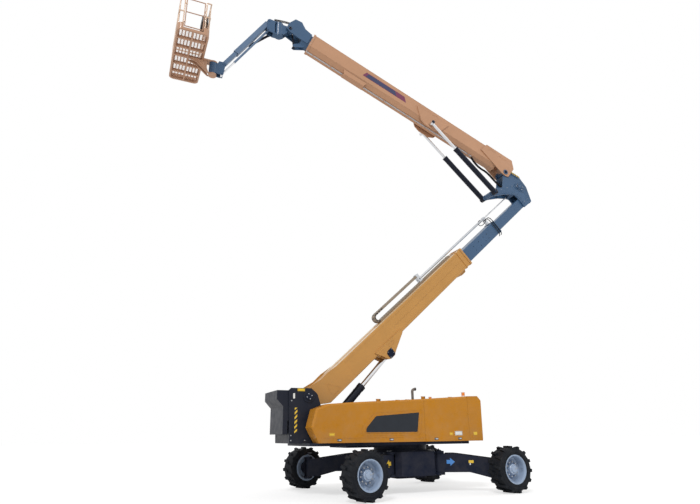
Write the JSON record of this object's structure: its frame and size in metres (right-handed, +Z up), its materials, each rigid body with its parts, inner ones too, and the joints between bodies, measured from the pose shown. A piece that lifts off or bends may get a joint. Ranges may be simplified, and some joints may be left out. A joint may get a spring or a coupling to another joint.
{
  "type": "articulating boom lift",
  "caption": "Self-propelled articulating boom lift: telescoping two-stage lower boom, telescoping upper boom, jib and work platform on swing-out axle arms.",
  "frame": {"origin": "on the ground under the middle of the machine's outline, with the booms raised as built", "axes": "+Z up; +X towards the counterweight and knuckle end; +Y away from the side with the platform gate"},
  "size_m": [13.1911, 4.7411, 14.9484],
  "materials": {
    "tyre": "matte black rubber",
    "rim_paint": "pale blue-grey paint",
    "chassis_paint": "satin navy-black paint",
    "riser_paint": "satin charcoal paint",
    "hood_paint": "gloss ochre paint",
    "boom_paint": "gloss ochre paint",
    "section_blue": "satin slate-blue paint",
    "jib_grey": "satin grey-brown paint",
    "cylinder_paint": "satin black paint",
    "rod_chrome": "polished chrome",
    "carrier_metal": "zinc-plated tube",
    "chain_plastic": "grey cable chain",
    "engine_iron": "cast iron",
    "exhaust_steel": "heat-dulled steel",
    "control_plastic": "black plastic"
  },
  "bodies": {
    "chassis": {"chassis_frame": "chassis_paint"},
    "arm_near_front": {"axle_arm_near_front": "chassis_paint"},
    "steer_near_front": {"steer_knuckle_near_front": "chassis_paint"},
    "wheel_near_front": {"rim_near_front": "rim_paint", "tyre_near_front": "tyre"},
    "arm_far_front": {"axle_arm_far_front": "chassis_paint"},
    "steer_far_front": {"steer_knuckle_far_front": "chassis_paint"},
    "wheel_far_front": {"rim_far_front": "rim_paint", "tyre_far_front": "tyre"},
    "arm_near_rear": {"axle_arm_near_rear": "chassis_paint"},
    "steer_near_rear": {"steer_knuckle_near_rear": "chassis_paint"},
    "wheel_near_rear": {"rim_near_rear": "rim_paint", "tyre_near_rear": "tyre"},
    "arm_far_rear": {"axle_arm_far_rear": "chassis_paint"},
    "steer_far_rear": {"steer_knuckle_far_rear": "chassis_paint"},
    "wheel_far_rear": {"rim_far_rear": "rim_paint", "tyre_far_rear": "tyre"},
    "turntable": {"turntable_frame": "chassis_paint", "boom_riser": "riser_paint", "front_guard": "riser_paint", "counterweight": "hood_paint", "engine_block": "engine_iron", "exhaust_pipe": "exhaust_steel"},
    "hood_near_front": {"hood_near_front": "hood_paint"},
    "hood_near_mid": {"hood_near_mid": "hood_paint"},
    "hood_far_front": {"hood_far_front": "hood_paint"},
    "hood_far_mid": {"hood_far_mid": "hood_paint"},
    "lower_boom": {"lower_boom_outer": "boom_paint", "cable_chain": "chain_plastic"},
    "lift_tube": {"lower_lift_tube": "cylinder_paint"},
    "lift_rod": {"lower_lift_rod": "rod_chrome"},
    "lower_mid": {"lower_boom_mid": "section_blue", "hose_carrier": "carrier_metal"},
    "lower_tip": {"lower_boom_inner": "section_blue", "knuckle_frame": "section_blue", "hose_slide_tube": "rod_chrome"},
    "upper_boom": {"upper_boom_outer": "boom_paint"},
    "twin_tubes": {"upper_lift_tubes": "cylinder_paint"},
    "twin_rods": {"upper_lift_rods": "rod_chrome"},
    "upper_tip": {"upper_boom_inner": "section_blue"},
    "head": {"head_bracket": "chassis_paint"},
    "level_tube": {"level_cylinder_tube": "cylinder_paint"},
    "level_rod": {"level_cylinder_rod": "rod_chrome"},
    "jib_base": {"jib_base": "section_blue"},
    "jib": {"jib_outer": "section_blue"},
    "jib_tip": {"jib_inner": "jib_grey"},
    "link_outer": {"jib_link_outer": "jib_grey"},
    "link_inner": {"jib_link_inner": "rod_chrome"},
    "jib_tube": {"jib_cylinder_tube": "cylinder_paint"},
    "jib_rod": {"jib_cylinder_rod": "rod_chrome"},
    "mount": {"platform_mount": "section_blue"},
    "platform": {"platform_floor": "boom_paint", "platform_support": "boom_paint", "platform_rails": "jib_grey", "control_box": "control_plastic"},
    "gate": {"platform_gate": "jib_grey"}
  },
  "joints": [
    {"name": "arm_swing_near_front", "type": "hinge", "parent": "chassis", "child": "arm_near_front", "pos_m": [-0.06, -0.8, 0.7], "axis": [0, 0, 1], "range_deg": [-38.5, 0]},
    {"name": "steer_near_front", "type": "hinge", "parent": "arm_near_front", "child": "steer_near_front", "pos_m": [-1.4, -1.72, 0.58], "axis": [0, 0, -1], "range_deg": [-28.5, 55]},
    {"name": "spin_near_front", "type": "hinge", "parent": "steer_near_front", "child": "wheel_near_front", "pos_m": [-1.3427, -2.04499, 0.5715], "axis": [0.1736, -0.9848, 0], "continuous": true},
    {"name": "arm_swing_far_front", "type": "hinge", "parent": "chassis", "child": "arm_far_front", "pos_m": [-0.06, 0.8, 0.7], "axis": [0, 0, -1], "range_deg": [-38.5, 0]},
    {"name": "steer_far_front", "type": "hinge", "parent": "arm_far_front", "child": "steer_far_front", "pos_m": [-1.4, 1.72, 0.58], "axis": [0, 0, 1], "range_deg": [-52.5, 31]},
    {"name": "spin_far_front", "type": "hinge", "parent": "steer_far_front", "child": "wheel_far_front", "pos_m": [-1.47983, 2.0402, 0.5715], "axis": [-0.2419, 0.9703, 0], "continuous": true},
    {"name": "arm_swing_near_rear", "type": "hinge", "parent": "chassis", "child": "arm_near_rear", "pos_m": [1.46, -0.8, 0.7], "axis": [0, 0, -1], "range_deg": [-38.5, 0]},
    {"name": "steer_near_rear", "type": "hinge", "parent": "arm_near_rear", "child": "steer_near_rear", "pos_m": [2.8, -1.72, 0.58], "axis": [0, 0, 1], "range_deg": [-43.5, 40]},
    {"name": "spin_near_rear", "type": "hinge", "parent": "steer_near_rear", "child": "wheel_near_rear", "pos_m": [2.82876, -2.04874, 0.5715], "axis": [0.0872, -0.9962, 0], "continuous": true},
    {"name": "arm_swing_far_rear", "type": "hinge", "parent": "chassis", "child": "arm_far_rear", "pos_m": [1.46, 0.8, 0.7], "axis": [0, 0, 1], "range_deg": [-38.5, 0]},
    {"name": "steer_far_rear", "type": "hinge", "parent": "arm_far_rear", "child": "steer_far_rear", "pos_m": [2.8, 1.72, 0.58], "axis": [0, 0, -1], "range_deg": [-33.5, 50]},
    {"name": "spin_far_rear", "type": "hinge", "parent": "steer_far_rear", "child": "wheel_far_rear", "pos_m": [2.77124, 2.04874, 0.5715], "axis": [-0.0872, 0.9962, 0], "continuous": true},
    {"name": "slew", "type": "hinge", "parent": "chassis", "child": "turntable", "pos_m": [0.7, 0, 1.1], "axis": [0, 0, 1], "continuous": true},
    {"name": "hood_near_front_hinge", "type": "hinge", "parent": "turntable", "child": "hood_near_front", "pos_m": [-0.7, -0.7575, 2.36186], "axis": [-1, 0, 0], "range_deg": [0, 60]},
    {"name": "hood_near_mid_hinge", "type": "hinge", "parent": "turntable", "child": "hood_near_mid", "pos_m": [1.52, -0.7575, 2.45168], "axis": [-1, 0, 0], "range_deg": [0, 60]},
    {"name": "hood_far_front_hinge", "type": "hinge", "parent": "turntable", "child": "hood_far_front", "pos_m": [-0.7, 0.7575, 2.36186], "axis": [1, 0, 0], "range_deg": [0, 60]},
    {"name": "hood_far_mid_hinge", "type": "hinge", "parent": "turntable", "child": "hood_far_mid", "pos_m": [1.52, 0.7575, 2.45168], "axis": [1, 0, 0], "range_deg": [0, 60]},
    {"name": "lower_lift", "type": "hinge", "parent": "turntable", "child": "lower_boom", "pos_m": [-2.26, 0, 2.41], "axis": [0, -1, 0], "range_deg": [-42, 24]},
    {"name": "lift_tube_swing", "type": "hinge", "parent": "turntable", "child": "lift_tube", "pos_m": [-1.65, 0, 1.5], "axis": [0, -1, 0], "range_deg": [-41.36, 23.85]},
    {"name": "lift_rod_stroke", "type": "slide", "parent": "lift_tube", "child": "lift_rod", "axis": [0.6852, 0, 0.7284], "range_m": [-0.7705, 0.4424]},
    {"name": "lower_telescope", "type": "slide", "parent": "lower_boom", "child": "lower_mid", "axis": [0.7431, 0, 0.6691], "range_m": [-1.6, 3.5], "deforming": ["cable_chain"]},
    {"name": "lower_telescope_tip", "type": "slide", "parent": "lower_mid", "child": "lower_tip", "axis": [0.7431, 0, 0.6691], "range_m": [-1.605, 3.505]},
    {"name": "upper_lift", "type": "hinge", "parent": "lower_tip", "child": "upper_boom", "pos_m": [5.52268, 0, 10.66899], "axis": [0, 1, 0], "range_deg": [-64, 46]},
    {"name": "twin_tube_swing", "type": "hinge", "parent": "lower_tip", "child": "twin_tubes", "pos_m": [4.819, 0, 9.67208], "axis": [0, 1, 0], "range_deg": [-65.01, 46.87]},
    {"name": "twin_rod_stroke", "type": "slide", "parent": "twin_tubes", "child": "twin_rods", "axis": [-0.7329, 0, 0.6804], "range_m": [-1.1685, 0.8413]},
    {"name": "upper_telescope", "type": "slide", "parent": "upper_boom", "child": "upper_tip", "axis": [-0.9239, 0, 0.3827], "range_m": [0, 5.6]},
    {"name": "head_level", "type": "hinge", "parent": "upper_tip", "child": "head", "pos_m": [-2.9546, 0, 14.50511], "axis": [0, -1, 0], "range_deg": [-64.5, 46.5]},
    {"name": "level_tube_swing", "type": "hinge", "parent": "upper_tip", "child": "level_tube", "pos_m": [-2.76491, 0, 13.91781], "axis": [0, -1, 0], "range_deg": [-2.03, 1.6]},
    {"name": "level_rod_stroke", "type": "slide", "parent": "level_tube", "child": "level_rod", "axis": [-0.1243, 0, 0.9922], "range_m": [-0.1186, 0.0858]},
    {"name": "jib_swing", "type": "hinge", "parent": "head", "child": "jib_base", "pos_m": [-3.3, 0, 14.4], "axis": [0, 0, 1], "range_deg": [-55, 55]},
    {"name": "jib_lift", "type": "hinge", "parent": "jib_base", "child": "jib", "pos_m": [-3.67, 0, 14.63], "axis": [0, 1, 0], "range_deg": [-6, 100]},
    {"name": "jib_telescope", "type": "slide", "parent": "jib", "child": "jib_tip", "axis": [-0.5358, 0, -0.8443], "range_m": [0, 1.3]},
    {"name": "link_swing", "type": "hinge", "parent": "jib_base", "child": "link_outer", "pos_m": [-3.692, 0, 14.278], "axis": [0, 1, 0], "range_deg": [-6.5, 100.5]},
    {"name": "link_telescope", "type": "slide", "parent": "link_outer", "child": "link_inner", "axis": [-0.5358, 0, -0.8443], "range_m": [-0.001, 1.301]},
    {"name": "jib_tube_swing", "type": "hinge", "parent": "jib_base", "child": "jib_tube", "pos_m": [-3.602, 0.175, 14.268], "axis": [0, 1, 0], "range_deg": [-6.36, 98.23]},
    {"name": "jib_rod_stroke", "type": "slide", "parent": "jib_tube", "child": "jib_rod", "axis": [-0.7063, 0, -0.7079], "range_m": [-0.0371, 0.5716]},
    {"name": "mount_level", "type": "hinge", "parent": "jib_tip", "child": "mount", "pos_m": [-5.05779, 0, 12.44319], "axis": [0, 1, 0], "range_deg": [-100.5, 6.5]},
    {"name": "platform_turn", "type": "hinge", "parent": "mount", "child": "platform", "pos_m": [-5.35, 0, 12.2], "axis": [0, 0, 1], "range_deg": [-85, 85]},
    {"name": "gate_swing", "type": "hinge", "parent": "platform", "child": "gate", "pos_m": [-6.373, -1.197, 13], "axis": [0, 0, 1], "range_deg": [0, 90]}
  ],
  "couplings": [
    {"joint": "lift_tube_swing", "follows": "lower_lift", "ratio": 0.9728},
    {"joint": "lift_rod_stroke", "follows": "lower_lift", "m_per_rad": 1.0443},
    {"joint": "lower_telescope_tip", "follows": "lower_telescope", "ratio": 1},
    {"joint": "twin_tube_swing", "follows": "upper_lift", "ratio": 1.008},
    {"joint": "twin_rod_stroke", "follows": "upper_lift", "m_per_rad": 1.0416},
    {"joint": "head_level", "follows": "upper_lift", "ratio": 1},
    {"joint": "level_tube_swing", "follows": "upper_lift", "ratio": 0.0239},
    {"joint": "level_rod_stroke", "follows": "upper_lift", "m_per_rad": 0.1044},
    {"joint": "link_swing", "follows": "jib_lift", "ratio": 1},
    {"joint": "link_telescope", "follows": "jib_telescope", "ratio": 1},
    {"joint": "jib_tube_swing", "follows": "jib_lift", "ratio": 0.9773},
    {"joint": "jib_rod_stroke", "follows": "jib_lift", "m_per_rad": 0.3258},
    {"joint": "mount_level", "follows": "jib_lift", "ratio": -1}
  ]
}
